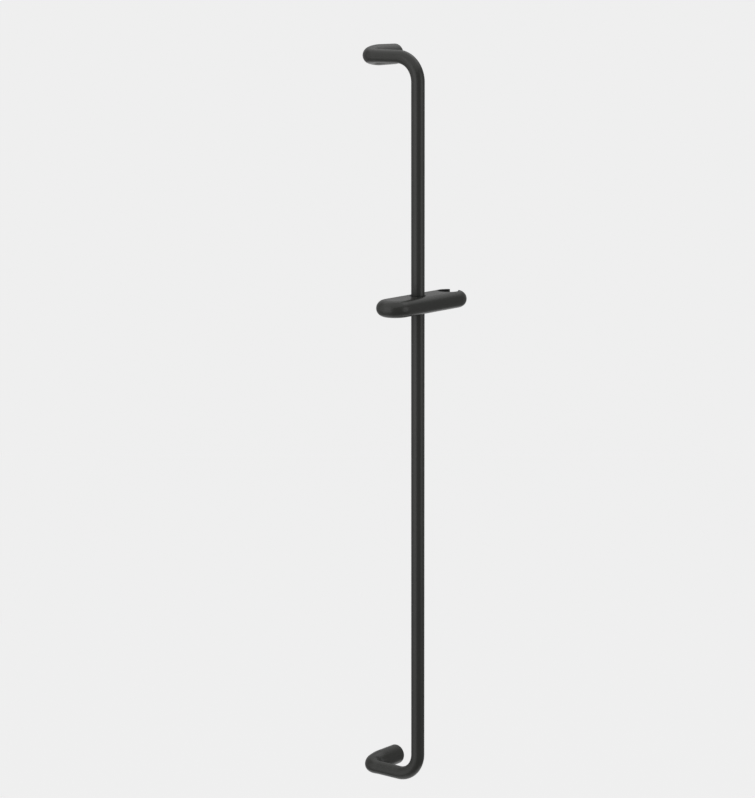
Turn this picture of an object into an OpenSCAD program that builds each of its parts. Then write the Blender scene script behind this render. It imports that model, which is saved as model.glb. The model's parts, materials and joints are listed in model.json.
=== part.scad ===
// Shower slide rail. A bent tube stands between two cast brackets that flare out
// to the wall, and a bar-shaped hand-shower holder slides along the tube and
// turns round it.
// The origin is midway between the two wall fixings, on the wall. The wall is the
// XZ plane, the room lies on its -Y side and +Z is up.

/* [Rail] */
// Height between the two wall fixings
fixing_spacing = 873; // [600:1:1200]
// Sideways distance from the wall fixings to the tube
rail_offset = 77.7; // [74:0.1:95]
// Distance from the wall to the tube's centreline
wall_distance = 59.8; // [52:0.1:75]
// Outside diameter of the tube
tube_d = 16; // [15:0.1:18]
// Wall of the tube
tube_wall = 1.5; // [1:0.1:2]
// Centreline radius of the tube's two bends
bend_r = 29; // [26:0.1:34]
// Straight end of the tube after each bend
tube_stub = 10; // [8:0.5:14]

/* [Wall brackets] */
// Widest diameter of the flared arm
flare_d = 25; // [23:0.1:27]
// Diameter of the arm's end at the wall
wall_end_d = 24.5; // [23:0.1:27]
// Rounding of the arm's edge at the wall
end_round = 3.8; // [1:0.1:4]
// Length of the joint spigot inside the bracket
spigot_grip = 16; // [12:0.5:18]
// Diameter of the joint spigot inside the bracket
spigot_d = 11; // [9:0.1:11.5]
// Diameter of the grub screw that locks the joint spigot
joint_screw_d = 4; // [3:0.5:5]

/* [Wall anchors] */
// Diameter of the boss that is screwed to the wall
anchor_d = 14; // [13:0.5:15]
// Length of that boss
anchor_len = 15; // [12:0.5:20]
// Clearance hole for the wall screw
wall_screw_hole_d = 5.5; // [4.5:0.1:6]
// Countersink for the wall screw's head
wall_screw_head_d = 11; // [9.5:0.1:11.5]
// Diameter of the grub screw that locks the bracket on the boss
anchor_screw_d = 5; // [4:0.5:6]
// Thickness of the gasket against the wall
gasket_t = 1; // [0.6:0.1:2]

/* [Holder] */
// Height of the holder above the middle of the rail
holder_z = 147; // [-250:1:250]
// Width of the bar
holder_w = 44.6; // [42:0.1:50]
// Thickness of the bar, which is round along all its edges
holder_t = 20; // [19:0.1:23]
// Distance from the tube's centreline to the bar's room end
room_reach = 65.7; // [60:0.1:75]
// Distance from the tube's centreline to the cup's centre
cup_reach = 59.2; // [52:0.1:70]
// Top wall of the hollow casting
shell_wall = 2.6; // [2:0.1:3]
// Thickness of the cover on the underside
base_t = 3; // [2.5:0.1:3.5]

/* [Cup] */
// Diameter of the cup at its top
cup_top_d = 24.5; // [23:0.1:26]
// Diameter of the cup at its foot
cup_foot_d = 21.9; // [20:0.1:22.5]
// Width of the slot that lets the hose in
slot_w = 15; // [13:0.1:16]
// Rounding of the two prongs beside the slot
prong_round = 5; // [2:0.1:5.5]
// Thickness of the cup's liner
liner_t = 1.2; // [0.8:0.1:1.6]

/* [Slide bush and brake] */
// Wall of the split bush round the tube
bush_wall = 1.55; // [1.3:0.05:1.8]
// Height of the bush's collar above and below the bar
bush_proud = 0.35; // [0.1:0.05:0.8]
// Thickness of the flange that keeps the bush in the bar
bush_flange_t = 1.3; // [1:0.1:1.6]
// Gap of the slit in the bush
bush_slit = 1.2; // [0.8:0.1:2]
// Diameter of the brake shoe
shoe_d = 8; // [6:0.1:8.5]
// Length of the brake shoe
shoe_len = 7; // [5:0.1:9]
// Length of the brake spring as fitted
spring_len = 11.3; // [9:0.1:14]
// Wire of the brake spring
spring_wire_d = 0.8; // [0.6:0.05:0.9]

/* [Hidden] */

$fn = 64;
coat = "#2b2c2c";
dark_plastic = "#161616";
rubber = "#101010";
steel = "#b9bcbe";
brass = "#b99a55";

cut = 1;                      // overrun of every cut
fit = 0.05;                   // clearance of pieces that stay put
running = 0.08;               // clearance of pieces that turn or slide
end_play = 0.1;               // axial play of the bush's flange

arm_z = fixing_spacing / 2;
tube_r = tube_d / 2;
bore_r = tube_r - tube_wall;
straight_half = arm_z - bend_r;
joint_x = rail_offset - bend_r - tube_stub;

// The arm's centreline: along X from the joint, round the elbow, then to the wall
elbow_share = 1.187;          // of the flare's radius: the inside corner is tight
elbow_r = elbow_share * flare_d / 2;
lateral_len = joint_x - elbow_r;
elbow_len = elbow_r * PI / 2;
outlet_len = wall_distance - elbow_r - gasket_t - end_round;
arm_len = lateral_len + elbow_len + outlet_len;
flare_from_share = 0.22;      // of the arm's length, where the flare starts
flare_share = 0.668;          // of the arm's length, where the flare is widest
lateral_steps = 10;
elbow_steps = 13;
outlet_steps = 9;
round_steps = 6;
arm_sides = 40;

socket_r = anchor_d / 2 + fit;
socket_room_share = 0.2;      // of the anchor's length, left free for the screw's head
socket_depth = anchor_len * (1 + socket_room_share);
anchor_lock_share = 0.55;     // of the anchor's length, where the grub screw bites
anchor_lock_y = -anchor_len * anchor_lock_share;
anchor_groove = anchor_screw_d * 0.22;
anchor_screw_len = wall_end_d / 2 - anchor_d / 2 + anchor_groove - end_round / 4;
spigot_lock_x = joint_x - spigot_grip / 2;
spigot_r = spigot_d / 2;
spigot_seat = joint_screw_d * 0.2;
// The screw's round face stays just under the arm's curved skin
joint_screw_len = sqrt(pow(arm_radius(spigot_grip / 2), 2) - pow(joint_screw_d / 2, 2))
    - spigot_r + spigot_seat - fit;

end_r = holder_w / 2;
half_t = holder_t / 2;
flat_r = end_r - half_t;      // half width of the bar's flat faces
room_centre = end_r - room_reach;
parting_z = base_t - half_t;
cavity_top = half_t - shell_wall;
cavity_edge_r = half_t / 2;
cavity_r = min(flat_r + sqrt(half_t * half_t - parting_z * parting_z) - shell_wall * 0.84,
    flat_r + cavity_edge_r);
cavity_shoulder = cavity_top - cavity_edge_r;
taper = (cup_top_d - cup_foot_d) / 2 / holder_t;
cup_wall = liner_t * 2.6;
cup_boss_r = cup_top_d / 2 + cup_wall;
liner_set = liner_t / 10;

bush_r = tube_r + running + bush_wall;
bush_flange_r = bush_r + bush_flange_t;
boss_wall = bush_wall;
boss_r = bush_flange_r + end_play + boss_wall;
flange_seat = bush_flange_t + 2 * end_play;
brake_z = (cavity_top + parting_z) / 2;
shoe_r = shoe_d / 2;
housing_wall = shell_wall * 0.55;
housing_end = bush_r + shoe_len + spring_len;
spring_r = shoe_r - spring_wire_d * 1.6;
spring_turns = 6;
spring_steps = 12;            // rings in each turn
spring_sides = 8;

cover_screw_d = 3;
cover_screw_len = 10;
cover_screw_sink = cover_screw_d / 2;
post_r = cover_screw_d * 1.2;
room_post_y = room_centre - post_r;
cup_post_y = (boss_r + cup_reach - cup_boss_r) / 2;
rim_t = shell_wall * 0.6;
rim_h = base_t * 0.6;

function ease(t) = t <= 0 ? 0 : t >= 1 ? 1 : t * t * (3 - 2 * t);
function clamp01(t) = max(0, min(1, t));

// Radius of the cast arm at the length s from the joint
function arm_radius(s) = tube_r
    + (flare_d / 2 - tube_r)
        * ease((s / arm_len - flare_from_share) / (flare_share - flare_from_share))
    + (wall_end_d - flare_d) / 2 * clamp01((s / arm_len - flare_share) / (1 - flare_share));

// Heading of the arm, 0 along -X and 90 along +Y
function arm_heading(s) = 90 * clamp01((s - lateral_len) / elbow_len);

// Centre of the arm at the length s, in the plane of the arm
function arm_centre(s) =
    s < lateral_len ? [joint_x - s, -wall_distance]
    : s < lateral_len + elbow_len
        ? [elbow_r * (1 - sin(arm_heading(s))), elbow_r * (1 - cos(arm_heading(s))) - wall_distance]
        : [0, elbow_r - wall_distance + s - lateral_len - elbow_len];

// One ring of the arm: its centre, heading and radius
function arm_station(s) = [arm_centre(s), arm_heading(s), arm_radius(s)];
arm_stations = [
    for (i = [0 : lateral_steps - 1]) arm_station(lateral_len * i / lateral_steps),
    for (i = [0 : elbow_steps - 1]) arm_station(lateral_len + elbow_len * i / elbow_steps),
    for (i = [0 : outlet_steps])
        arm_station(lateral_len + elbow_len + outlet_len * i / outlet_steps),
    for (i = [1 : round_steps])
        let (a = 90 * i / round_steps)
            [[0, -gasket_t - end_round * (1 - sin(a))], 90,
             wall_end_d / 2 - end_round * (1 - cos(a))]
];

function ring_points(station, sides) = [
    for (k = [0 : sides - 1])
        let (c = station[0], a = station[1], r = station[2], p = 360 * k / sides)
            [c[0] + r * cos(p) * sin(a), c[1] + r * cos(p) * cos(a), r * sin(p)]
];

// Closes a row of rings, each with the same number of sides, into a solid
module skin(rings, sides) {
    last = len(rings) - 1;
    polyhedron(
        points = [for (ring = rings) each ring],
        faces = [
            [for (k = [0 : sides - 1]) k],
            [for (k = [sides - 1 : -1 : 0]) last * sides + k],
            for (i = [0 : last - 1], k = [0 : sides - 1])
                let (a = i * sides + k, b = i * sides + (k + 1) % sides)
                    [a, a + sides, b],
            for (i = [0 : last - 1], k = [0 : sides - 1])
                let (a = i * sides + k, b = i * sides + (k + 1) % sides)
                    [b, a + sides, b + sides]
        ]
    );
}

module along_y() rotate([-90, 0, 0]) children();
module along_x() rotate([0, 90, 0]) children();

module tube(length) {
    difference() {
        cylinder(r = tube_r, h = length);
        translate([0, 0, -cut]) cylinder(r = bore_r, h = length + 2 * cut);
    }
}

// One bend of the tube and its straight end, at the top of the rail
module tube_end() {
    translate([rail_offset - bend_r, -wall_distance, straight_half])
        rotate([90, 0, 0])
            rotate_extrude(angle = 90)
                translate([bend_r, 0]) difference() {
                    circle(r = tube_r);
                    circle(r = bore_r);
                }
    translate([rail_offset - bend_r, -wall_distance, arm_z]) rotate([0, -90, 0]) tube(tube_stub);
}

module rail_tube() {
    color(coat) {
        translate([rail_offset, -wall_distance, -straight_half]) tube(2 * straight_half);
        tube_end();
        mirror([0, 0, 1]) tube_end();
    }
}

// A cast arm, from the tube's end to the wall, with the seats of its fixings
module bracket(z) {
    color(coat) translate([0, 0, z]) difference() {
        skin([for (s = arm_stations) ring_points(s, arm_sides)], arm_sides);
        translate([joint_x - spigot_grip, -wall_distance, 0])
            along_x() cylinder(r = spigot_r + fit, h = spigot_grip + cut);
        translate([0, -gasket_t - socket_depth, 0])
            along_y() cylinder(r = socket_r, h = socket_depth + cut);
        translate([spigot_lock_x, -wall_distance, 0])
            along_y() cylinder(d = joint_screw_d + 2 * fit, h = flare_d / 2);
        translate([0, anchor_lock_y, -flare_d / 2 - cut])
            cylinder(d = anchor_screw_d + 2 * fit, h = flare_d / 2 + cut);
    }
}

// A stepped pin: its thick end fills the tube, its thin end sits in the arm
module joint_spigot(z) {
    color(steel) translate([joint_x, -wall_distance, z]) difference() {
        union() {
            translate([-spigot_grip, 0, 0]) along_x() cylinder(r = spigot_r, h = spigot_grip);
            along_x() cylinder(r = bore_r - fit, h = tube_stub);
        }
        translate([-spigot_grip / 2, spigot_r - spigot_seat, 0])
            along_y() cylinder(d = joint_screw_d + 2 * fit, h = spigot_seat + cut);
    }
}

// A grub screw along Z with its flat point at the origin
module grub_screw(d, length) {
    difference() {
        union() {
            cylinder(d1 = d * 0.6, d2 = d, h = d * 0.2);
            translate([0, 0, d * 0.2]) cylinder(d = d, h = length - d * 0.2);
        }
        translate([0, 0, length / 2]) cylinder(d = d * 0.55, h = length, $fn = 6);
    }
}

module joint_screw(z) {
    color(steel)
        translate([spigot_lock_x, -wall_distance + spigot_r - spigot_seat, z])
            along_y() grub_screw(joint_screw_d, joint_screw_len);
}

// A turned boss with a hole for the wall screw and a groove for the grub screw
module wall_anchor(z) {
    color(brass) translate([0, 0, z]) rotate([90, 0, 0]) difference() {
        cylinder(d = anchor_d, h = anchor_len);
        translate([0, 0, -cut]) cylinder(d = wall_screw_hole_d, h = anchor_len + 2 * cut);
        translate([0, 0, anchor_len - (wall_screw_head_d - wall_screw_hole_d) / 2])
            cylinder(d1 = wall_screw_hole_d, d2 = wall_screw_head_d,
                h = (wall_screw_head_d - wall_screw_hole_d) / 2);
        translate([0, 0, -anchor_lock_y - anchor_screw_d * 0.6])
            rotate_extrude()
                translate([anchor_d / 2 - anchor_groove, 0])
                    square([anchor_groove + cut, anchor_screw_d * 1.2]);
    }
}

module anchor_screw(z) {
    color(steel)
        translate([0, anchor_lock_y, z - anchor_d / 2 + anchor_groove])
            rotate([180, 0, 0]) grub_screw(anchor_screw_d, anchor_screw_len);
}

module wall_gasket(z) {
    color(rubber) translate([0, -gasket_t, z]) along_y() difference() {
        cylinder(r = wall_end_d / 2 - end_round, h = gasket_t);
        translate([0, 0, -cut]) cylinder(r = socket_r, h = gasket_t + 2 * cut);
    }
}

// Places a piece of the holder: its own origin is on the tube, halfway up the bar
module at_holder() translate([rail_offset, -wall_distance, holder_z]) children();

// Section of the bar on one side of its axis
module bar_section() {
    square([flat_r, holder_t]);
    translate([flat_r, half_t]) intersection() {
        circle(r = half_t);
        translate([0, -half_t]) square([half_t, holder_t]);
    }
}

// Draws an upright section out along the bar, from the centre of its room end
module along_bar(length) {
    translate([0, room_centre, 0]) mirror([0, 1, 0]) rotate([90, 0, 0])
        linear_extrude(height = length) children();
}

// The bar's outer form: an extruded middle and two turned half-round ends
module bar_form() {
    middle = cup_reach - room_centre;
    along_bar(middle)
        for (side = [0, 1]) mirror([side, 0]) translate([0, -half_t]) bar_section();
    translate([0, room_centre + middle, -half_t]) rotate_extrude(angle = 180) bar_section();
    translate([0, room_centre, -half_t])
        rotate([0, 0, 180]) rotate_extrude(angle = 180) bar_section();
}

// A block over the whole bar, to cut it off at one height
module bar_block(z) {
    translate([-end_r - cut, -room_reach - cut, z])
        cube([2 * (end_r + cut), room_reach + cup_reach + end_r + 2 * cut, holder_t]);
}

// Half of the cavity's section, open downwards, from the underside of the casting
module cavity_section() {
    depth = cavity_top - parting_z + cut;
    translate([0, parting_z - cut]) square([cavity_r - cavity_edge_r, depth]);
    translate([0, parting_z - cut]) square([cavity_r, depth - cavity_edge_r]);
    translate([cavity_r - cavity_edge_r, cavity_shoulder]) circle(r = cavity_edge_r);
}

module cavity() {
    cavity_end = cup_reach - cup_boss_r / 2;
    difference() {
        union() {
            along_bar(cavity_end - room_centre)
                for (side = [0, 1]) mirror([side, 0]) cavity_section();
            translate([0, room_centre, 0])
                rotate([0, 0, 180]) rotate_extrude(angle = 180) cavity_section();
        }
        translate([0, 0, -half_t]) cylinder(r = boss_r, h = holder_t);
        translate([0, cup_reach, -half_t]) cylinder(r = cup_boss_r, h = holder_t);
        for (y = [room_post_y, cup_post_y])
            translate([0, y, -half_t]) cylinder(r = post_r, h = holder_t);
        translate([-shoe_r - housing_wall, -housing_end - housing_wall,
            brake_z - shoe_r - housing_wall])
            cube([2 * (shoe_r + housing_wall), housing_end + housing_wall, holder_t]);
    }
}

// The conical seat of the cup, grown by a wall
module cup_cone(wall) {
    translate([0, cup_reach, -half_t - cut])
        cylinder(r1 = cup_foot_d / 2 - taper * cut + wall,
            r2 = cup_top_d / 2 + taper * cut + wall, h = holder_t + 2 * cut);
}

// The slot through the cup's end, widened where the prongs are rounded
module slot_cut() {
    a = slot_w / 2;
    f = prong_round;
    far = end_r - f;
    y = sqrt(far * far - (a + f) * (a + f));
    reach = (end_r + cut) / far;
    translate([0, cup_reach, -half_t - cut]) linear_extrude(height = holder_t + 2 * cut) {
        translate([-a, 0]) square([2 * a, end_r + cut]);
        for (side = [0, 1]) mirror([side, 0]) difference() {
            polygon([[0, y], [a + f, y], [(a + f) * reach, y * reach],
                [a, end_r + 2 * cut], [0, end_r + 2 * cut]]);
            translate([a + f, y]) circle(r = f);
        }
    }
}

module holder_body() {
    color(coat) at_holder() difference() {
        bar_form();
        bar_block(parting_z - holder_t);
        cavity();
        translate([0, 0, -half_t]) cylinder(r = bush_r + running, h = holder_t + cut);
        translate([0, 0, parting_z - cut])
            cylinder(r = bush_flange_r + end_play, h = flange_seat + cut);
        translate([0, -housing_end, brake_z])
            along_y() cylinder(r = shoe_r + fit, h = housing_end);
        for (y = [room_post_y, cup_post_y])
            translate([0, y, -half_t])
                cylinder(d = cover_screw_d + 2 * fit, h = cover_screw_len + 2 * fit);
        cup_cone(liner_t + fit);
        slot_cut();
    }
}

module cover_rim() {
    module outline(r) {
        translate([-r, room_centre]) square([2 * r, cup_reach - cup_boss_r * 1.1 - room_centre]);
        translate([0, room_centre]) circle(r = r);
    }
    translate([0, 0, parting_z]) linear_extrude(height = rim_h) difference() {
        outline(cavity_r - fit * 2);
        outline(cavity_r - fit * 2 - rim_t);
        translate([-cavity_r + rim_t * 2, 0]) square([2 * (cavity_r - rim_t * 2), cup_reach]);
    }
}

module holder_cover() {
    color(coat) at_holder() difference() {
        union() {
            difference() {
                bar_form();
                bar_block(parting_z);
            }
            cover_rim();
        }
        translate([0, 0, -half_t - cut]) cylinder(r = bush_r + running, h = holder_t);
        for (y = [room_post_y, cup_post_y]) translate([0, y, -half_t]) {
            translate([0, 0, -cut]) cylinder(d = cover_screw_d + 2 * fit, h = holder_t);
            cylinder(d1 = 2 * cover_screw_d + 2 * fit, d2 = cover_screw_d + 2 * fit,
                h = cover_screw_sink);
        }
        cup_cone(liner_t + fit);
        slot_cut();
    }
}

module cover_screw(y) {
    color(steel) at_holder() translate([0, y, -half_t]) difference() {
        union() {
            cylinder(d1 = 2 * cover_screw_d, d2 = cover_screw_d, h = cover_screw_sink);
            cylinder(d = cover_screw_d, h = cover_screw_len);
        }
        translate([0, 0, -cut])
            cylinder(d = cover_screw_d * 0.8, h = cut + cover_screw_sink, $fn = 6);
    }
}

// Split bush: it slides on the tube and the holder turns round it
module slide_bush() {
    low = -half_t - bush_proud;
    color(dark_plastic) at_holder() difference() {
        union() {
            translate([0, 0, low]) cylinder(r = bush_r, h = holder_t + 2 * bush_proud);
            translate([0, 0, parting_z + end_play]) cylinder(r = bush_flange_r, h = bush_flange_t);
        }
        translate([0, 0, low - cut])
            cylinder(r = tube_r + running, h = holder_t + 2 * bush_proud + 2 * cut);
        translate([-bush_flange_r - cut, -bush_slit / 2, low - cut])
            cube([bush_flange_r + cut, bush_slit, holder_t + 2 * bush_proud + 2 * cut]);
    }
}

// Brake shoe: its hollow face squeezes the bush on to the tube
module brake_shoe() {
    color(dark_plastic) at_holder() translate([0, 0, brake_z]) difference() {
        union() {
            translate([0, -bush_r - shoe_len, 0])
                along_y() cylinder(r = shoe_r, h = shoe_len + shoe_r / 2);
            translate([0, -bush_r - shoe_len - spring_wire_d * 2, 0])
                along_y() cylinder(r = spring_r - spring_wire_d, h = spring_wire_d * 2);
        }
        translate([0, 0, -shoe_r - cut]) cylinder(r = bush_r + running, h = 2 * (shoe_r + cut));
    }
}

// Height of the spring's wire after t turns: one closed turn at each end
function spring_rise(t) =
    let (closed = spring_wire_d * 1.1,
         open = (spring_len - spring_wire_d - 2 * closed) / (spring_turns - 2))
        t < 1 ? closed * t
        : t < spring_turns - 1 ? closed + open * (t - 1)
        : closed + open * (spring_turns - 2) + closed * (t - spring_turns + 1);

module brake_spring() {
    wire_r = spring_wire_d / 2;
    rings = [
        for (i = [0 : spring_turns * spring_steps])
            let (a = 360 * i / spring_steps, h = spring_rise(i / spring_steps) + wire_r)
                [for (k = [0 : spring_sides - 1])
                    let (p = 360 * k / spring_sides, r = spring_r + wire_r * cos(p))
                        [r * cos(a), r * sin(a), h + wire_r * sin(p)]]
    ];
    color(steel) at_holder() translate([0, -housing_end, brake_z])
        along_y() mirror([0, 1, 0]) skin(rings, spring_sides);
}

// Liner of the cup, open at the slot
module cup_liner() {
    top = half_t - liner_set;
    color(dark_plastic) at_holder() difference() {
        cup_cone(liner_t);
        cup_cone(0);
        translate([0, cup_reach, top - liner_t / 2])
            cylinder(r1 = cup_top_d / 2 - taper * liner_t, r2 = cup_top_d / 2 + liner_t / 2,
                h = liner_t / 2);
        slot_cut();
        for (z = [top, -top - holder_t])
            translate([-end_r, cup_reach - end_r, z]) cube([2 * end_r, 2 * end_r, holder_t]);
    }
}

rail_tube();
bracket(arm_z);  // upper_bracket
bracket(-arm_z);  // lower_bracket
joint_spigot(arm_z);  // upper_joint_spigot
joint_spigot(-arm_z);  // lower_joint_spigot
joint_screw(arm_z);  // upper_joint_screw
joint_screw(-arm_z);  // lower_joint_screw
wall_anchor(arm_z);  // upper_wall_anchor
wall_anchor(-arm_z);  // lower_wall_anchor
anchor_screw(arm_z);  // upper_anchor_screw
anchor_screw(-arm_z);  // lower_anchor_screw
wall_gasket(arm_z);  // upper_wall_gasket
wall_gasket(-arm_z);  // lower_wall_gasket
slide_bush();
holder_body();
holder_cover();
cover_screw(room_post_y);  // room_cover_screw
cover_screw(cup_post_y);  // cup_cover_screw
brake_shoe();
brake_spring();
cup_liner();
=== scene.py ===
import json
import math

import bmesh
import bpy
from mathutils import Matrix, Vector


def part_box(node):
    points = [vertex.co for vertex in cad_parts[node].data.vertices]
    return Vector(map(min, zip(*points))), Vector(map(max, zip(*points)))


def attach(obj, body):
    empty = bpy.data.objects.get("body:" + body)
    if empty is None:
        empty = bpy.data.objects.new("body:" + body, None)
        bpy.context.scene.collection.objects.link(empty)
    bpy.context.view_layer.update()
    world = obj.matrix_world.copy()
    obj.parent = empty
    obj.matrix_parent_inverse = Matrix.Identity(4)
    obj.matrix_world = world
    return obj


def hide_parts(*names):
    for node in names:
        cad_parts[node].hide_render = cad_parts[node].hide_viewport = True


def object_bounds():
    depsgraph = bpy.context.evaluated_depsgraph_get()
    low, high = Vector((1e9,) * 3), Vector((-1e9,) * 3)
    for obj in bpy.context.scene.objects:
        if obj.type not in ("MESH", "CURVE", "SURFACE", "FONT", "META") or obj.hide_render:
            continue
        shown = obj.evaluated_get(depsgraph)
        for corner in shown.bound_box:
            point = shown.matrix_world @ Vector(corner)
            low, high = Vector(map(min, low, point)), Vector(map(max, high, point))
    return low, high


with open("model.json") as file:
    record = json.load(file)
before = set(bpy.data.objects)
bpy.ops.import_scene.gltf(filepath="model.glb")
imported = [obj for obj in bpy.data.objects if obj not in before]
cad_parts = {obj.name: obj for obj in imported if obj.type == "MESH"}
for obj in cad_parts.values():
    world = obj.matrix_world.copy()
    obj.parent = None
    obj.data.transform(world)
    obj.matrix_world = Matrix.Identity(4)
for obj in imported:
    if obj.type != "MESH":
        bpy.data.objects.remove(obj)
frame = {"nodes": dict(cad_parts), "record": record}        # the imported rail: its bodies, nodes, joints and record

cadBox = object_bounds()
scene = bpy.context.scene
nodes = frame["nodes"]
print("frame loaded:", len(nodes), "nodes")

# Camera: the photo's own view, fitted to the outline of the rail
camera = {
    "azimuth": 37.895, "elevation": 10.318,    # degrees
    "distance": 3.1129,                        # metres, to the middle of the tube
    "focalPx": 2609.55,                        # focal length in pixels of the photo
    "principalPx": (413.413, 410.5),           # where the lens looks in the photo
    "tubeMiddlePx": (417.874, 426.187),        # where the middle of the tube shows
    "imagePx": (755, 798),
    "sensor": 36.0,
}

studio = {
    "background": 0.863,       # linear value of the photo's pale grey ground
    "floorDrop": 1.80,         # floor below the lowest point of the rail
    "floorSide": 1.7,          # the paper floor runs along the view, this far to each side,
    "floorFront": 0.5,         # towards the camera
    "floorBack": 11.0,         # and away from it, up to the backdrop
    "backdropSide": 2.5,
    "backdropHeight": 3.0,
    "floorColour": (0.80, 0.80, 0.80),
    "floorGlow": 0.909,        # camera and mirror rays see this glow
    "glowShare": 0.93,         # mixed with the lit paper, which keeps the shadow
    "worldFill": 0.30,         # the room, as dim as the dark bands on the tube show it
}

# Soft boxes round the rail: azimuth and elevation seen from it, in degrees, distance,
# width and height in metres, and the radiance of the white sheet
softBoxes = {
    "frontBox": {"azimuth": -8, "elevation": 12, "distance": 2.6, "size": (2.32, 2.7), "radiance": 0.91},
    "leftBox": {"azimuth": -50, "elevation": 12, "distance": 2.6, "size": (1.70, 2.7), "radiance": 0.39},
    "lowBox": {"azimuth": -18, "elevation": -26, "distance": 2.6, "size": (2.9, 1.5), "radiance": 0.50},
    "skyBox": {"azimuth": 0, "elevation": 88, "distance": 2.3, "size": (4.6, 4.6), "radiance": 0.65},
    "backBox": {"azimuth": 180, "elevation": 52, "distance": 2.6, "size": (2.2, 1.3), "radiance": 0.50},
    "sideBox": {"azimuth": -135, "elevation": 20, "distance": 2.6, "size": (2.6, 2.4), "radiance": 0.15},
    "rightBox": {"azimuth": 106, "elevation": 6, "distance": 2.6, "size": (1.69, 2.4), "radiance": 0.83},
}


def directionTo(azimuth, elevation):
    a, e = math.radians(azimuth), math.radians(elevation)
    return Vector((math.sin(a) * math.cos(e), -math.cos(a) * math.cos(e), math.sin(e)))


def tubeMiddle():
    low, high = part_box("rail_tube")
    radius = (high.y - low.y) / 2
    return Vector((high.x - radius, (low.y + high.y) / 2, (low.z + high.z) / 2))


def makeCamera(s):
    back = directionTo(s["azimuth"], s["elevation"])
    right = Vector((math.cos(math.radians(s["azimuth"])), math.sin(math.radians(s["azimuth"])), 0))
    up = back.cross(right)
    perPixel = s["distance"] / s["focalPx"]
    across = (s["tubeMiddlePx"][0] - s["principalPx"][0]) * perPixel
    down = (s["tubeMiddlePx"][1] - s["principalPx"][1]) * perPixel
    data = bpy.data.cameras.new("photoCamera")
    data.sensor_width = s["sensor"]
    data.lens = s["sensor"] * s["focalPx"] / max(s["imagePx"])
    data.shift_x = (s["imagePx"][0] / 2 - s["principalPx"][0]) / max(s["imagePx"])
    data.shift_y = (s["principalPx"][1] - s["imagePx"][1] / 2) / max(s["imagePx"])
    data.clip_start, data.clip_end = 0.05, 60
    eye = bpy.data.objects.new("photoCamera", data)
    scene.collection.objects.link(eye)
    place = tubeMiddle() + back * s["distance"] - right * across + up * down
    turn = Matrix((right, up, back)).transposed()
    eye.matrix_world = Matrix.Translation(place) @ turn.to_4x4()
    scene.camera = eye


makeCamera(camera)
scene.view_settings.view_transform = "Standard"
print("camera set")


def blankMaterial(name):
    material = bpy.data.materials.new(name)
    material.use_nodes = True
    tree = material.node_tree
    tree.nodes.clear()
    output = tree.nodes.new("ShaderNodeOutputMaterial")
    return material, tree, output


def joinNodes(tree, *pairs):
    for source, target in pairs:
        tree.links.new(source, target)


def makeFloorMaterial():
    # Camera and mirror rays see a steady grey; the lit paper under it keeps the rail's shadow
    material, tree, output = blankMaterial("paleFloor")
    path = tree.nodes.new("ShaderNodeLightPath")
    plain = tree.nodes.new("ShaderNodeBsdfDiffuse")
    plain.inputs["Color"].default_value = (*studio["floorColour"], 1)
    glow = tree.nodes.new("ShaderNodeEmission")
    glow.inputs["Color"].default_value = (studio["floorGlow"],) * 3 + (1,)
    share = tree.nodes.new("ShaderNodeMath")
    share.operation = "MULTIPLY"
    share.inputs[1].default_value = studio["glowShare"]
    seen = tree.nodes.new("ShaderNodeMath")
    seen.operation = "MAXIMUM"
    mirrored = tree.nodes.new("ShaderNodeMath")
    mirrored.operation = "MAXIMUM"
    mix = tree.nodes.new("ShaderNodeMixShader")
    joinNodes(
        tree,
        (path.outputs["Is Glossy Ray"], mirrored.inputs[0]),
        (path.outputs["Is Transmission Ray"], mirrored.inputs[1]),
        (path.outputs["Is Camera Ray"], seen.inputs[0]),
        (mirrored.outputs[0], seen.inputs[1]),
        (seen.outputs[0], share.inputs[0]),
        (share.outputs[0], mix.inputs["Fac"]),
        (plain.outputs[0], mix.inputs[1]),
        (glow.outputs[0], mix.inputs[2]),
        (mix.outputs[0], output.inputs["Surface"]),
    )
    return material


def layPaper(name, corners, material):
    mesh = bpy.data.meshes.new(name)
    mesh.from_pydata([tuple(c) for c in corners], [], [(0, 1, 2, 3)])
    mesh.materials.append(material)
    paper = bpy.data.objects.new(name, mesh)
    scene.collection.objects.link(paper)


def makeStage():
    # A floor that runs along the camera's view, and a backdrop that stands at its far end
    material = makeFloorMaterial()
    towards = directionTo(camera["azimuth"], 0)
    across = Vector((-towards.y, towards.x, 0))
    low = Vector((0, 0, cadBox[0].z - studio["floorDrop"]))
    front = low + towards * studio["floorFront"]
    back = low - towards * studio["floorBack"]
    top = back + Vector((0, 0, studio["backdropHeight"]))
    side, wide = across * studio["floorSide"], across * studio["backdropSide"]
    layPaper("floor", [front - side, front + side, back + side, back - side], material)
    layPaper("backdrop", [back - wide, back + wide, top + wide, top - wide], material)


def makeWorld():
    # Past the papers the camera sees their grey, and everything else sees the dim room
    world = bpy.data.worlds.new("studioRoom")
    scene.world = world
    world.use_nodes = True
    tree = world.node_tree
    tree.nodes.clear()
    output = tree.nodes.new("ShaderNodeOutputWorld")
    path = tree.nodes.new("ShaderNodeLightPath")
    room = tree.nodes.new("ShaderNodeBackground")
    ground = tree.nodes.new("ShaderNodeBackground")
    for light, strength in ((room, studio["worldFill"]), (ground, studio["background"])):
        light.inputs["Color"].default_value = (1, 1, 1, 1)
        light.inputs["Strength"].default_value = strength
    mix = tree.nodes.new("ShaderNodeMixShader")
    joinNodes(
        tree,
        (path.outputs["Is Camera Ray"], mix.inputs["Fac"]),
        (room.outputs[0], mix.inputs[1]),
        (ground.outputs[0], mix.inputs[2]),
        (mix.outputs[0], output.inputs["Surface"]),
    )


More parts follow.
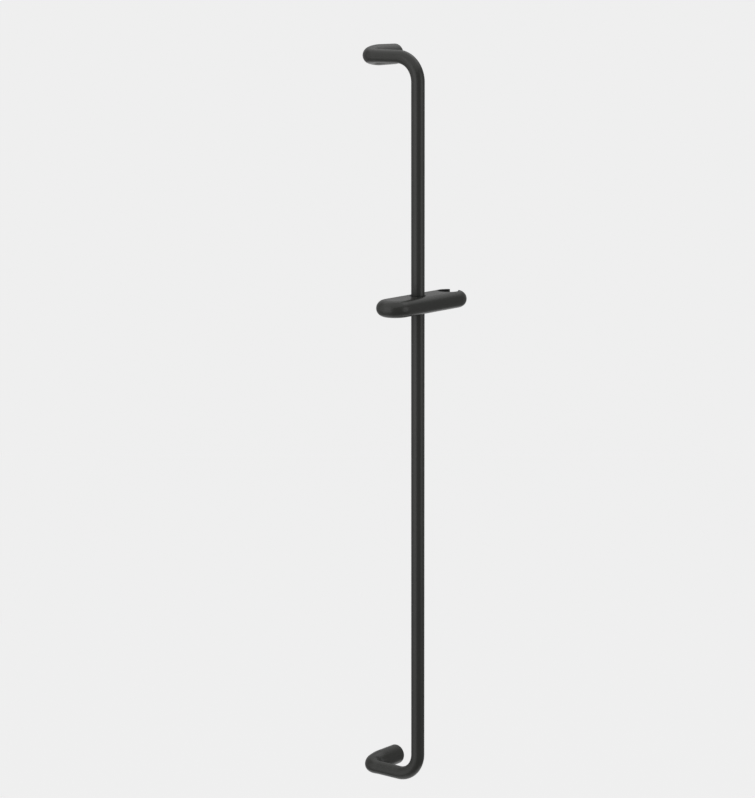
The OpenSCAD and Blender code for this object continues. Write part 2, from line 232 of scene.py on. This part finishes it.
def makeSoftBox(name, s):
    data = bpy.data.lights.new(name, "AREA")
    data.shape = "RECTANGLE"
    data.size, data.size_y = s["size"]
    data.energy = s["radiance"] * math.pi * s["size"][0] * s["size"][1]
    lamp = bpy.data.objects.new(name, data)
    lamp.visible_camera = False
    scene.collection.objects.link(lamp)
    towards = directionTo(s["azimuth"], s["elevation"])
    lamp.matrix_world = (
        Matrix.Translation(tubeMiddle() + towards * s["distance"])
        @ towards.to_track_quat("Z", "Y").to_matrix().to_4x4()
    )


makeStage()
makeWorld()
for name, settings in softBoxes.items():
    makeSoftBox(name, settings)
print("studio built")

# Finishes. Grain sizes are in metres.
coatFinish = {
    "colour": (0.0209, 0.0216, 0.0190), "lighter": (0.0239, 0.0246, 0.0217),
    "roughness": (0.30, 0.36), "specular": 0.5,
    "orangePeel": 0.0011, "peelHeight": 0.000018, "grain": 0.00022, "grainHeight": 0.000006,
    "cloud": 0.06,
}
nylonFinish = {
    "colour": (0.0085, 0.0085, 0.0087), "lighter": (0.011, 0.011, 0.011),
    "roughness": (0.50, 0.60), "specular": 0.4,
    "orangePeel": 0.0006, "peelHeight": 0.000012, "grain": 0.00015, "grainHeight": 0.000006,
    "cloud": 0.02,
}
rubberFinish = {
    "colour": (0.013, 0.013, 0.013), "lighter": (0.018, 0.018, 0.018),
    "roughness": (0.72, 0.85), "specular": 0.3,
    "orangePeel": 0.0008, "peelHeight": 0.00002, "grain": 0.0002, "grainHeight": 0.00001,
    "cloud": 0.01,
}
steelFinish = {
    "colour": (0.56, 0.56, 0.57), "darker": (0.47, 0.47, 0.48), "roughness": (0.22, 0.36),
    "lathe": 0.00035, "latheHeight": 0.00001, "stain": 0.004,
}
brassFinish = {
    "colour": (0.70, 0.51, 0.24), "darker": (0.60, 0.42, 0.18), "roughness": (0.25, 0.40),
    "lathe": 0.0005, "latheHeight": 0.00001, "stain": 0.004,
}
noiseSettings = {
    "roughness": 0.55,
    "usedRange": (0.3, 0.7),   # nearly all of a noise's values lie in this range
}


def grainNoise(tree, coordinates, size, detail=2.0):
    noise = tree.nodes.new("ShaderNodeTexNoise")
    noise.inputs["Scale"].default_value = 1 / size
    noise.inputs["Detail"].default_value = detail
    noise.inputs["Roughness"].default_value = noiseSettings["roughness"]
    tree.links.new(coordinates, noise.inputs["Vector"])
    return noise.outputs["Fac"]


def spread(tree, value, low, high):
    ranged = tree.nodes.new("ShaderNodeMapRange")
    ranged.inputs["From Min"].default_value = noiseSettings["usedRange"][0]
    ranged.inputs["From Max"].default_value = noiseSettings["usedRange"][1]
    ranged.inputs["To Min"].default_value = low
    ranged.inputs["To Max"].default_value = high
    tree.links.new(value, ranged.inputs["Value"])
    return ranged.outputs["Result"]


def shadeBetween(tree, value, first, second):
    mix = tree.nodes.new("ShaderNodeMix")
    mix.data_type = "RGBA"
    mix.inputs["A"].default_value = (*first, 1)
    mix.inputs["B"].default_value = (*second, 1)
    tree.links.new(value, mix.inputs["Factor"])
    return mix.outputs["Result"]


def raised(tree, value, height, under=None):
    bump = tree.nodes.new("ShaderNodeBump")
    bump.inputs["Strength"].default_value = 1.0
    bump.inputs["Distance"].default_value = height
    tree.links.new(value, bump.inputs["Height"])
    if under is not None:
        tree.links.new(under, bump.inputs["Normal"])
    return bump.outputs["Normal"]


def makeSkin(name, s):
    # A moulded or sprayed skin: low waves, a fine grain and a faintly uneven tone
    material, tree, output = blankMaterial(name)
    place = tree.nodes.new("ShaderNodeTexCoord").outputs["Object"]
    shader = tree.nodes.new("ShaderNodeBsdfPrincipled")
    shader.inputs["Specular IOR Level"].default_value = s["specular"]
    cloud = grainNoise(tree, place, s["cloud"], 3.0)
    peel = grainNoise(tree, place, s["orangePeel"])
    grain = grainNoise(tree, place, s["grain"], 1.0)
    tone = shadeBetween(tree, spread(tree, cloud, 0, 1), s["colour"], s["lighter"])
    rough = spread(tree, peel, *s["roughness"])
    relief = raised(tree, grain, s["grainHeight"], raised(tree, peel, s["peelHeight"]))
    joinNodes(
        tree,
        (tone, shader.inputs["Base Color"]),
        (rough, shader.inputs["Roughness"]),
        (relief, shader.inputs["Normal"]),
        (shader.outputs[0], output.inputs["Surface"]),
    )
    return material


def makeTurnedMetal(name, s):
    # Bare metal from the lathe: fine rings and a little stain
    material, tree, output = blankMaterial(name)
    place = tree.nodes.new("ShaderNodeTexCoord").outputs["Object"]
    shader = tree.nodes.new("ShaderNodeBsdfPrincipled")
    shader.inputs["Metallic"].default_value = 1.0
    rings = tree.nodes.new("ShaderNodeTexWave")
    rings.bands_direction = "DIAGONAL"
    rings.inputs["Scale"].default_value = 1 / s["lathe"] / 20
    rings.inputs["Distortion"].default_value = 0.6
    rings.inputs["Detail"].default_value = 2.0
    tree.links.new(place, rings.inputs["Vector"])
    stain = grainNoise(tree, place, s["stain"], 4.0)
    tone = shadeBetween(tree, spread(tree, stain, 0, 1), s["colour"], s["darker"])
    rough = spread(tree, stain, *s["roughness"])
    joinNodes(
        tree,
        (tone, shader.inputs["Base Color"]),
        (rough, shader.inputs["Roughness"]),
        (raised(tree, rings.outputs["Fac"], s["latheHeight"]), shader.inputs["Normal"]),
        (shader.outputs[0], output.inputs["Surface"]),
    )
    return material


coat = makeSkin("blackPowderCoat", coatFinish)
nylon = makeSkin("blackNylon", nylonFinish)
rubber = makeSkin("gasketRubber", rubberFinish)
steel = makeTurnedMetal("stainlessSteel", steelFinish)
brass = makeTurnedMetal("turnedBrass", brassFinish)
finishOfSlot = {
    "rail_coat": coat, "bracket_coat": coat, "holder_coat": coat,
    "bush_nylon": nylon, "liner_nylon": nylon, "gasket_rubber": rubber,
    "screw_steel": steel, "anchor_brass": brass,
}
slotOfNode = {p["node"]: p["material_slot"] for p in frame["record"]["subparts"]}
bodyOfNode = {n: b for b, members in frame["record"]["behaviour"]["bodies"].items() for n in members}


def dressNodes():
    for name, node in nodes.items():
        node.data.materials.clear()
        node.data.materials.append(finishOfSlot[slotOfNode[name]])


dressNodes()
print("finishes on the CAD pieces")

# Small helpers for the node trees: a new tree, its named inputs, and a finished mesh
def startTree(name, inputs):
    tree = bpy.data.node_groups.new(name, "GeometryNodeTree")
    tree.interface.new_socket("Geometry", in_out="INPUT", socket_type="NodeSocketGeometry")
    for label, kind in inputs.items():
        tree.interface.new_socket(label, in_out="INPUT", socket_type="NodeSocket" + kind)
    tree.interface.new_socket("Geometry", in_out="OUTPUT", socket_type="NodeSocketGeometry")
    return tree, tree.nodes.new("NodeGroupInput").outputs


def addNode(tree, kind, links=None, **settings):
    node = tree.nodes.new(kind)
    for label, value in settings.items():
        setattr(node, label, value)
    for label, value in (links or {}).items():
        socket = node.inputs[label]
        if isinstance(value, bpy.types.NodeSocket):
            tree.links.new(value, socket)
        else:
            socket.default_value = value
    return node


def calculate(tree, operation, *values):
    node = tree.nodes.new("ShaderNodeMath")
    node.operation = operation
    for socket, value in zip(node.inputs, values):
        if isinstance(value, bpy.types.NodeSocket):
            tree.links.new(value, socket)
        else:
            socket.default_value = value
    return node.outputs[0]


def rangeOf(tree, value, fromLow, fromHigh, toLow, toHigh, interpolation="LINEAR"):
    node = addNode(
        tree, "ShaderNodeMapRange",
        {"Value": value, "From Min": fromLow, "From Max": fromHigh, "To Min": toLow, "To Max": toHigh},
        interpolation_type=interpolation,
    )
    return node.outputs["Result"]


def finishTree(tree, geometry, material):
    real = addNode(tree, "GeometryNodeRealizeInstances", {"Geometry": geometry})
    painted = addNode(
        tree, "GeometryNodeSetMaterial", {"Geometry": real.outputs[0], "Material": material},
    )
    tree.links.new(painted.outputs[0], tree.nodes.new("NodeGroupOutput").inputs[0])
    return tree


def runTree(name, tree, values, points, edges):
    # Runs a tree on a bare row of points and keeps the result as a plain mesh
    start = bpy.data.meshes.new(name)
    start.from_pydata(points, edges, [])
    piece = bpy.data.objects.new(name, start)
    scene.collection.objects.link(piece)
    modifier = piece.modifiers.new(tree.name, "NODES")
    modifier.node_group = tree
    for socket in tree.interface.items_tree:
        if socket.in_out == "INPUT" and socket.name in values:
            modifier[socket.identifier] = values[socket.name]
    made = bpy.data.meshes.new_from_object(piece.evaluated_get(bpy.context.evaluated_depsgraph_get()))
    piece.modifiers.remove(modifier)
    piece.data = made
    made.name = name
    return piece


smoothing = {
    "sharpAngle": 40,          # degrees
    "mergeDistance": 1e-6,
}


def smoothPiece(piece, s):
    mesh = bmesh.new()
    mesh.from_mesh(piece.data)
    bmesh.ops.remove_doubles(mesh, verts=mesh.verts, dist=s["mergeDistance"])
    bmesh.ops.recalc_face_normals(mesh, faces=mesh.faces)
    mesh.to_mesh(piece.data)
    mesh.free()
    piece.data.shade_smooth()
    piece.data.set_sharp_from_angle(angle=math.radians(s["sharpAngle"]))


# The rail's own measures, read from the boxes of the CAD pieces
def readRail():
    low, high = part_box("rail_tube")
    radius = round((high.y - low.y) / 2, 4)
    pinLow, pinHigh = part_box("upper_joint_spigot")
    screwLow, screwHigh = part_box("upper_joint_screw")
    anchorLow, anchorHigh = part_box("upper_wall_anchor")
    gasketLow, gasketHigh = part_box("upper_wall_gasket")
    lockLow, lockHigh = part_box("upper_anchor_screw")
    measured = {
        "tubeRadius": radius, "wallDistance": -(pinLow.y + pinHigh.y) / 2,
        "railX": high.x - radius, "armZ": (pinLow.z + pinHigh.z) / 2, "jointX": low.x,
        "pinRadius": (pinHigh.z - pinLow.z) / 2, "pinEndX": pinLow.x,
        "jointScrewX": (screwLow.x + screwHigh.x) / 2, "jointScrewRadius": (screwHigh.x - screwLow.x) / 2,
        "anchorRadius": (anchorHigh.x - anchorLow.x) / 2, "anchorLength": anchorHigh.y - anchorLow.y,
        "anchorScrewY": (lockLow.y + lockHigh.y) / 2, "anchorScrewRadius": (lockHigh.x - lockLow.x) / 2,
        "gasket": gasketHigh.y - gasketLow.y,
    }
    return {name: round(value, 5) for name, value in measured.items()}


rail = readRail()

tubeShape = {
    "bendRadius": 0.029,       # centreline of the two bends
    "bendSteps": 40,
    "sides": 96,
    "fit": 0.00005,            # clearance round the joint pins
}

armShape = {
    "flareRadius": 0.0125,     # widest radius of the flared arm
    "flareFrom": 0.22,         # of its length
    "widestAt": 0.668,
    "wallRadius": 0.01225,
    "wallRounding": 0.0038,
    "elbowShare": 1.187,       # elbow radius, as a share of the flare's
    "pinRadius": 0.0055,       # the joint pin's thin end
    "rings": 150,
    "roundShare": 0.14,        # of the rings, spent on the rounding at the wall
    "sides": 112,
    "fit": 0.00005,            # clearance of the seats
    "socketShare": 1.2,        # depth of the anchor's socket, of the anchor's length
    "screwSides": 48,
    "overrun": 0.001,
}


def tubeTree(s):
    tree, given = startTree("bentTube", {
        "Bend radius": "Float", "Tube radius": "Float", "Bore radius": "Float",
    })
    path = addNode(tree, "GeometryNodeMeshToCurve", {"Mesh": given["Geometry"]})
    bent = addNode(
        tree, "GeometryNodeFilletCurve",
        {"Curve": path.outputs[0], "Count": s["bendSteps"], "Radius": given["Bend radius"]}, mode="POLY",
    )
    walls = []
    for label in ("Tube radius", "Bore radius"):
        ring = addNode(
            tree, "GeometryNodeCurvePrimitiveCircle", {"Resolution": s["sides"], "Radius": given[label]},
        )
        wall = addNode(
            tree, "GeometryNodeCurveToMesh",
            {"Curve": bent.outputs[0], "Profile Curve": ring.outputs[0], "Fill Caps": False},
        )
        walls.append(wall.outputs[0])
    inner = addNode(tree, "GeometryNodeFlipFaces", {"Mesh": walls[1]})
    both = tree.nodes.new("GeometryNodeJoinGeometry")
    joinNodes(tree, (walls[0], both.inputs[0]), (inner.outputs[0], both.inputs[0]))
    return finishTree(tree, both.outputs[0], coat)


def closeTubeEnds(piece):
    # A flat ring closes each end between the tube's outside and its bore
    mesh = bmesh.new()
    mesh.from_mesh(piece.data)
    for side in (1, -1):
        rim = [e for e in mesh.edges if e.is_boundary and e.verts[0].co.z * side > 0]
        bmesh.ops.bridge_loops(mesh, edges=rim)
    mesh.to_mesh(piece.data)
    mesh.free()


def makeTube(s):
    y, z = -rail["wallDistance"], rail["armZ"]
    corners = [
        (rail["jointX"], y, z), (rail["railX"], y, z),
        (rail["railX"], y, -z), (rail["jointX"], y, -z),
    ]
    values = {
        "Bend radius": s["bendRadius"], "Tube radius": rail["tubeRadius"],
        "Bore radius": rail["pinRadius"] + s["fit"],
    }
    tube = runTree("bentTube", tubeTree(s), values, corners, [(0, 1), (1, 2), (2, 3)])
    closeTubeEnds(tube)
    smoothPiece(tube, smoothing)
    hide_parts("rail_tube")
    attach(tube, bodyOfNode["rail_tube"])
    return tube


def armCutter(tree, radius, depth, place, turn, sides):
    bar = addNode(
        tree, "GeometryNodeMeshCylinder", {"Vertices": sides, "Radius": radius, "Depth": depth},
    )
    moved = addNode(
        tree, "GeometryNodeTransform",
        {"Geometry": bar.outputs["Mesh"], "Translation": place, "Rotation": turn},
    )
    return moved.outputs[0]


def armTree(s):
    # The arm: rings along the elbowed path, wide in the middle and rounded at the wall
    tree, given = startTree("flaredArm", {
        "Elbow radius": "Float", "Length": "Float", "Joint radius": "Float", "Flare radius": "Float",
        "Flare from": "Float", "Widest at": "Float", "Wall radius": "Float", "Wall rounding": "Float",
    })
    path = addNode(tree, "GeometryNodeMeshToCurve", {"Mesh": given["Geometry"]})
    bent = addNode(
        tree, "GeometryNodeFilletCurve",
        {"Curve": path.outputs[0], "Count": s["rings"], "Radius": given["Elbow radius"]}, mode="POLY",
    )
    line = addNode(tree, "GeometryNodeCurvePrimitiveLine", {"End": (0, 0, 1)})
    row = addNode(tree, "GeometryNodeResampleCurve", {"Curve": line.outputs[0], "Count": s["rings"]})
    index = addNode(tree, "GeometryNodeInputIndex").outputs[0]
    along = calculate(tree, "DIVIDE", index, s["rings"] - 1)
    plain = calculate(tree, "SUBTRACT", given["Length"], given["Wall rounding"])
    body = rangeOf(tree, along, 0, 1 - s["roundShare"], 0, plain)
    turn = rangeOf(tree, along, 1 - s["roundShare"], 1, 0, math.pi / 2)
    reach = calculate(tree, "MULTIPLY_ADD", calculate(tree, "SINE", turn), given["Wall rounding"], body)
    inwards = calculate(tree, "SUBTRACT", 1, calculate(tree, "COSINE", turn))
    lost = calculate(tree, "MULTIPLY", inwards, given["Wall rounding"])
    share = calculate(tree, "DIVIDE", body, plain)
    swell = calculate(tree, "SUBTRACT", given["Flare radius"], given["Joint radius"])
    swollen = rangeOf(tree, share, given["Flare from"], given["Widest at"], 0, swell, "SMOOTHSTEP")
    shrink = calculate(tree, "SUBTRACT", given["Wall radius"], given["Flare radius"])
    shrunk = rangeOf(tree, share, given["Widest at"], 1, 0, shrink)
    wide = calculate(tree, "ADD", calculate(tree, "ADD", given["Joint radius"], swollen), shrunk)
    radius = calculate(tree, "SUBTRACT", wide, lost)
    spot = addNode(
        tree, "GeometryNodeSampleCurve", {"Curves": bent.outputs[0], "Length": reach}, mode="LENGTH",
    )
    placed = addNode(
        tree, "GeometryNodeSetPosition",
        {"Geometry": row.outputs[0], "Position": spot.outputs["Position"]},
    )
    ring = addNode(tree, "GeometryNodeCurvePrimitiveCircle", {"Resolution": s["sides"], "Radius": 1.0})
    arm = addNode(
        tree, "GeometryNodeCurveToMesh",
        {"Curve": placed.outputs[0], "Profile Curve": ring.outputs[0],
         "Scale": radius, "Fill Caps": True},
    )
    return tree, given, arm.outputs[0]


def drilledArmTree(s, below):
    tree, given, arm = armTree(s)
    jointX, y = rail["jointX"], -rail["wallDistance"]
    pinDepth = jointX - rail["pinEndX"]
    socketDepth = rail["anchorLength"] * s["socketShare"]
    z = rail["armZ"] * below
    half = s["flareRadius"] / 2
    holes = [
        (s["pinRadius"] + s["fit"], pinDepth + s["overrun"],
         (jointX - (pinDepth - s["overrun"]) / 2, y, z), (0, math.pi / 2, 0), s["sides"]),
        (rail["anchorRadius"] + s["fit"], socketDepth + s["overrun"],
         (0, -rail["gasket"] - (socketDepth - s["overrun"]) / 2, z), (math.pi / 2, 0, 0), s["sides"]),
        (rail["jointScrewRadius"] + s["fit"], s["flareRadius"],
         (rail["jointScrewX"], y + half, z), (math.pi / 2, 0, 0), s["screwSides"]),
        (rail["anchorScrewRadius"] + s["fit"], s["flareRadius"] + s["overrun"],
         (0, rail["anchorScrewY"], z - half - s["overrun"] / 2), (0, 0, 0), s["screwSides"]),
    ]
    drilled = addNode(
        tree, "GeometryNodeMeshBoolean", {"Mesh 1": arm}, operation="DIFFERENCE", solver="EXACT",
    )
    for hole in holes:
        tree.links.new(armCutter(tree, *hole), drilled.inputs["Mesh 2"])
    return finishTree(tree, drilled.outputs["Mesh"], coat)


def makeArm(name, side, s):
    y, z = -rail["wallDistance"], rail["armZ"] * side
    elbow = s["elbowShare"] * s["flareRadius"]
    corners = [(rail["jointX"], y, z), (0, y, z), (0, -rail["gasket"], z)]
    length = rail["jointX"] + rail["wallDistance"] - rail["gasket"] - elbow * (2 - math.pi / 2)
    values = {
        "Elbow radius": elbow, "Length": length, "Joint radius": rail["tubeRadius"],
        "Flare radius": s["flareRadius"], "Flare from": s["flareFrom"], "Widest at": s["widestAt"],
        "Wall radius": s["wallRadius"], "Wall rounding": s["wallRounding"],
    }
    arm = runTree(name + "Arm", drilledArmTree(s, side), values, corners, [(0, 1), (1, 2)])
    smoothPiece(arm, smoothing)
    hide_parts(name + "_bracket")
    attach(arm, bodyOfNode[name + "_bracket"])
    return arm


springShape = {
    "wireRadius": 0.0004,
    "turns": 6,                # the first and the last are closed
    "closedShare": 1.1,        # rise of a closed turn, of the wire's diameter
    "turnSteps": 48,
    "sides": 16,
}


def springTree(s):
    # Wire wound round the axis, with a closed turn at each end
    tree, given = startTree("woundSpring", {
        "Coil radius": "Float", "Length": "Float", "Wire radius": "Float",
    })
    axis = addNode(tree, "GeometryNodeMeshToCurve", {"Mesh": given["Geometry"]})
    line = addNode(tree, "GeometryNodeCurvePrimitiveLine", {"End": (0, 0, 1)})
    count = s["turns"] * s["turnSteps"] + 1
    row = addNode(tree, "GeometryNodeResampleCurve", {"Curve": line.outputs[0], "Count": count})
    index = addNode(tree, "GeometryNodeInputIndex").outputs[0]
    turn = calculate(tree, "DIVIDE", index, s["turnSteps"])
    angle = calculate(tree, "MULTIPLY", turn, 2 * math.pi)
    closed = calculate(tree, "MULTIPLY", given["Wire radius"], 2 * s["closedShare"])
    ends = calculate(tree, "MULTIPLY", given["Wire radius"], 2 + 4 * s["closedShare"])
    free = calculate(tree, "SUBTRACT", given["Length"], ends)
    last = s["turns"] - 1
    rises = [
        rangeOf(tree, turn, 0, 1, 0, closed), rangeOf(tree, turn, 1, last, 0, free),
        rangeOf(tree, turn, last, s["turns"], 0, closed),
    ]
    rise = given["Wire radius"]
    for step in rises:
        rise = calculate(tree, "ADD", rise, step)
    spot = addNode(
        tree, "GeometryNodeSampleCurve", {"Curves": axis.outputs[0], "Length": rise}, mode="LENGTH",
    )
    aside = addNode(tree, "ShaderNodeCombineXYZ", {
        "X": calculate(tree, "MULTIPLY", calculate(tree, "COSINE", angle), given["Coil radius"]),
        "Z": calculate(tree, "MULTIPLY", calculate(tree, "SINE", angle), given["Coil radius"]),
    })
    wound = addNode(
        tree, "GeometryNodeSetPosition",
        {"Geometry": row.outputs[0], "Position": spot.outputs["Position"], "Offset": aside.outputs[0]},
    )
    ring = addNode(
        tree, "GeometryNodeCurvePrimitiveCircle",
        {"Resolution": s["sides"], "Radius": given["Wire radius"]},
    )
    wire = addNode(
        tree, "GeometryNodeCurveToMesh",
        {"Curve": wound.outputs[0], "Profile Curve": ring.outputs[0], "Fill Caps": True},
    )
    return finishTree(tree, wire.outputs[0], steel)


def makeSpring(s):
    low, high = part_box("brake_spring")
    middle = (low + high) / 2
    values = {
        "Coil radius": (high.x - low.x) / 2 - s["wireRadius"], "Length": high.y - low.y,
        "Wire radius": s["wireRadius"],
    }
    ends = [(middle.x, low.y, middle.z), (middle.x, high.y, middle.z)]
    spring = runTree("woundSpring", springTree(s), values, ends, [(0, 1)])
    smoothPiece(spring, smoothing)
    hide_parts("brake_spring")
    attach(spring, bodyOfNode["brake_spring"])
    return spring


makeTube(tubeShape)
print("tube bent")
for name, side in (("upper", 1), ("lower", -1)):
    makeArm(name, side, armShape)
print("arms cast and drilled")
makeSpring(springShape)
print("spring wound")
